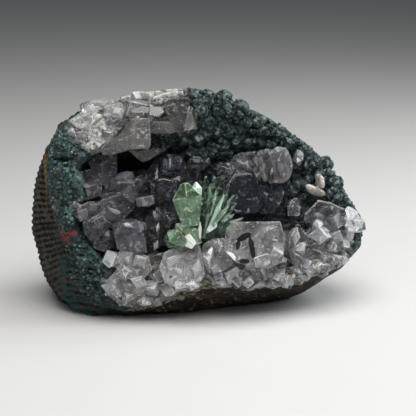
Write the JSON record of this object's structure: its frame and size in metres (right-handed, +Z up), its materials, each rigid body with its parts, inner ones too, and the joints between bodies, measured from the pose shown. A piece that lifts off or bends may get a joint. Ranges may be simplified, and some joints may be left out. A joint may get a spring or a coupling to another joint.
{
  "type": "apophyllite crystal cluster",
  "caption": "Egg-shaped chunk of basalt vug with a blue-green chalcedony lining, clear and milky apophyllite blocks and a green crystal fan in the middle.",
  "frame": {"origin": "on the flat resting face, below the middle of the specimen", "axes": "+Z up, +X towards the pointed right end, -Y out of the open crystal face towards the viewer"},
  "size_m": [0.1512, 0.0784, 0.098],
  "materials": {
    "dark_basalt": "rough, saw-trimmed ribs",
    "celadonite_chalcedony": "matt and sugary, mottled blue-green",
    "apophyllite_top_blocks_crystal": "clear to milky crystal, glassy faces",
    "apophyllite_left_blocks_crystal": "clear to milky crystal, glassy faces",
    "apophyllite_large_crystal_crystal": "clear to milky crystal, glassy faces",
    "apophyllite_front_blocks_crystal": "clear to milky crystal, glassy faces",
    "apophyllite_right_blocks_crystal": "clear to milky crystal, glassy faces",
    "green_apophyllite_spray_crystal": "clear to milky crystal, glassy faces",
    "small_cube_upper_crystal": "clear to milky crystal, glassy faces",
    "small_cube_lower_crystal": "clear to milky crystal, glassy faces",
    "stilbite_blades_crystal": "clear to milky crystal, glassy faces"
  },
  "bodies": {
    "root": {"basalt_matrix": "dark_basalt", "chalcedony_crust": "celadonite_chalcedony", "apophyllite_top_blocks": "apophyllite_top_blocks_crystal", "apophyllite_left_blocks": "apophyllite_left_blocks_crystal", "apophyllite_large_crystal": "apophyllite_large_crystal_crystal", "apophyllite_front_blocks": "apophyllite_front_blocks_crystal", "apophyllite_right_blocks": "apophyllite_right_blocks_crystal", "green_apophyllite_spray": "green_apophyllite_spray_crystal", "small_cube_upper": "small_cube_upper_crystal", "small_cube_lower": "small_cube_lower_crystal", "stilbite_blades": "stilbite_blades_crystal"}
  },
  "joints": []
}
